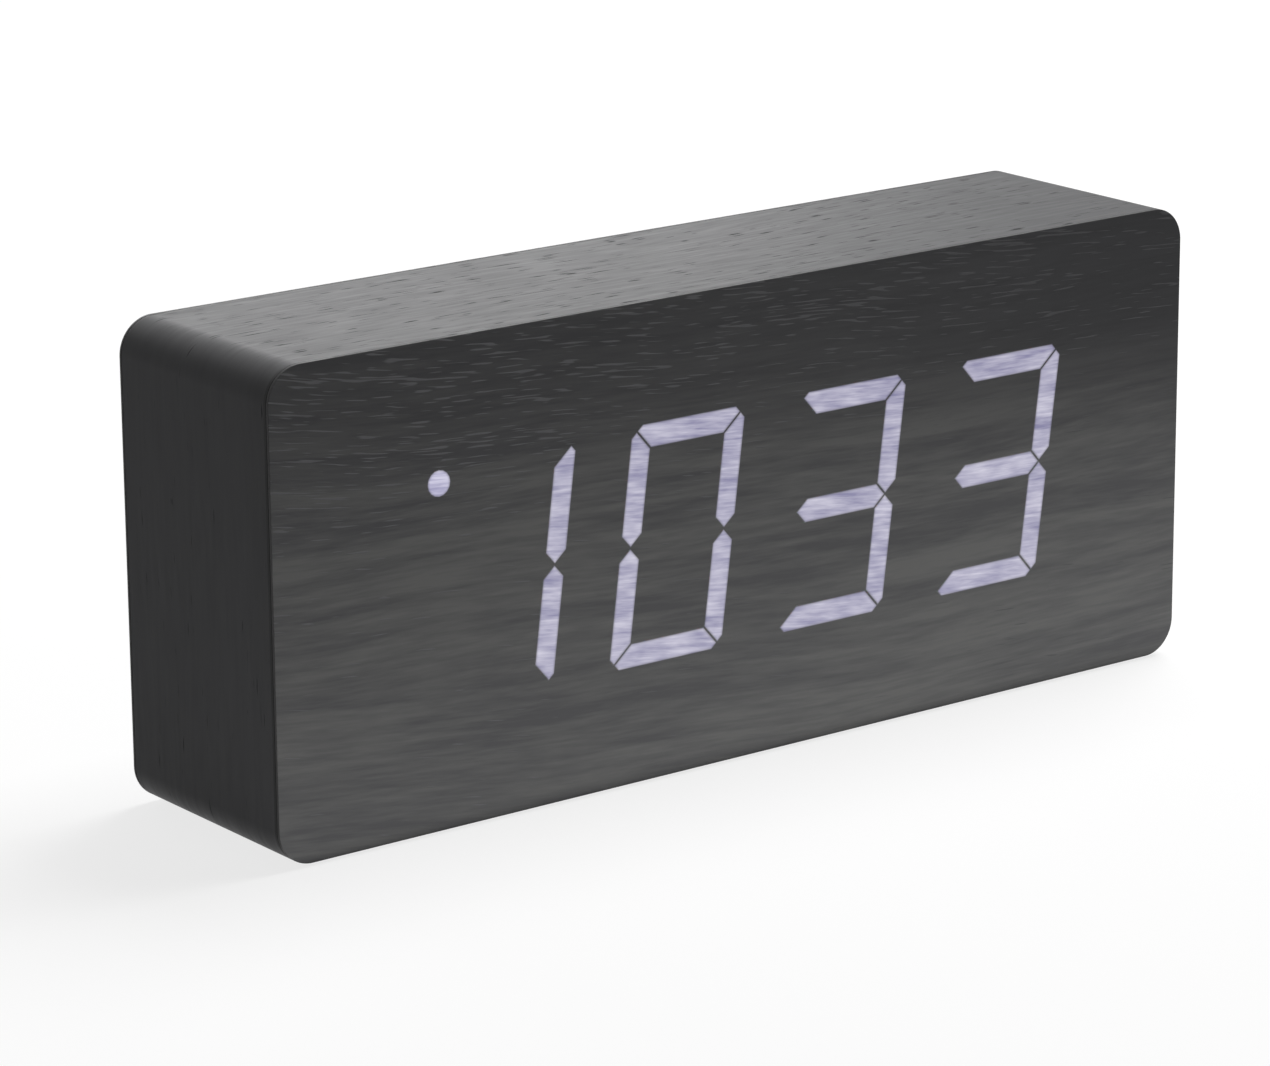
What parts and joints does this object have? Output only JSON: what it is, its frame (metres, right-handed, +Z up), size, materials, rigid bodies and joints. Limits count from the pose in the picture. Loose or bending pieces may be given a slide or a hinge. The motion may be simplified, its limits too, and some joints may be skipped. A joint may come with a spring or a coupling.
{
  "type": "digital alarm clock",
  "caption": "Free-standing block alarm clock: rounded veneered case, light display shining through the front, rear cover with push buttons and hinged battery door.",
  "frame": {"origin": "middle of the footprint, on the surface the clock stands on", "axes": "+X to the right seen from the front, -Y out of the front, +Z up"},
  "size_m": [0.21, 0.0474, 0.09],
  "materials": {
    "veneer": "charcoal-stained wood-grain veneer, satin",
    "fibreboard": "raw medium-density fibreboard, milled",
    "foot_foam": "matt foam",
    "black_mask": "matt black moulding",
    "lit_segments": "milky diffusing plastic, lit pale violet-white behind the veneer",
    "white_plastic": "white moulding",
    "circuit_board": "green solder mask over glass-fibre laminate",
    "black_moulding": "fine spark-textured black ABS",
    "button_plastic": "satin black moulding",
    "screw_steel": "black zinc-plated steel",
    "contact_steel": "nickel-plated spring steel",
    "tinned_steel": "tinned steel",
    "can_metal": "drawn can",
    "chip_plastic": "moulded epoxy",
    "cell_wrap": "plain printed shrink film, no wording",
    "ribbon": "grey flat cable",
    "red_sleeve": "red wire insulation",
    "black_sleeve": "black wire insulation"
  },
  "bodies": {
    "root": {"battery_1": "cell_wrap", "battery_2": "cell_wrap", "battery_3": "cell_wrap", "battery_lead_black": "black_sleeve", "battery_lead_red": "red_sleeve", "board_screw_1": "screw_steel", "board_screw_2": "screw_steel", "board_screw_3": "screw_steel", "board_screw_4": "screw_steel", "buzzer": "chip_plastic", "capacitor": "can_metal", "case_body": "fibreboard", "contact_bridge_left": "contact_steel", "contact_bridge_right": "contact_steel", "contact_negative": "contact_steel", "contact_positive": "contact_steel", "control_board": "circuit_board", "control_connector": "white_plastic", "cover_screw_1": "screw_steel", "cover_screw_2": "screw_steel", "cover_screw_3": "screw_steel", "cover_screw_4": "screw_steel", "crystal_can": "can_metal", "display_board": "circuit_board", "display_connector": "white_plastic", "display_mask": "black_mask", "display_screw_1": "screw_steel", "display_screw_2": "screw_steel", "display_screw_3": "screw_steel", "display_screw_4": "screw_steel", "down_switch": "chip_plastic", "foot_pad_1": "foot_foam", "foot_pad_2": "foot_foam", "foot_pad_3": "foot_foam", "foot_pad_4": "foot_foam", "front_veneer": "veneer", "light_guide": "lit_segments", "mcu_chip": "chip_plastic", "microphone": "can_metal", "rear_cover": "black_moulding", "rear_veneer": "veneer", "reflector": "white_plastic", "ribbon_cable": "ribbon", "set_switch": "chip_plastic", "temperature_sensor": "chip_plastic", "up_switch": "chip_plastic", "usb_socket": "tinned_steel", "wrap_veneer": "veneer"},
    "set_key": {"set_button": "button_plastic", "set_plunger": "white_plastic"},
    "up_key": {"up_button": "button_plastic", "up_plunger": "white_plastic"},
    "down_key": {"down_button": "button_plastic", "down_plunger": "white_plastic"},
    "door": {"battery_door": "black_moulding"}
  },
  "joints": [
    {"name": "set_press", "type": "slide", "parent": "root", "child": "set_key", "axis": [0, -1, 0], "range_m": [0, 0.0005], "stiffness_N_per_m": 2500, "springref_m": -0.0002},
    {"name": "up_press", "type": "slide", "parent": "root", "child": "up_key", "axis": [0, -1, 0], "range_m": [0, 0.0005], "stiffness_N_per_m": 2500, "springref_m": -0.0002},
    {"name": "down_press", "type": "slide", "parent": "root", "child": "down_key", "axis": [0, -1, 0], "range_m": [0, 0.0005], "stiffness_N_per_m": 2500, "springref_m": -0.0002},
    {"name": "battery_door_hinge", "type": "hinge", "parent": "root", "child": "door", "pos_m": [0.03645, 0.02275, 0.0272], "axis": [-1, 0, 0], "range_deg": [0, 80]}
  ]
}
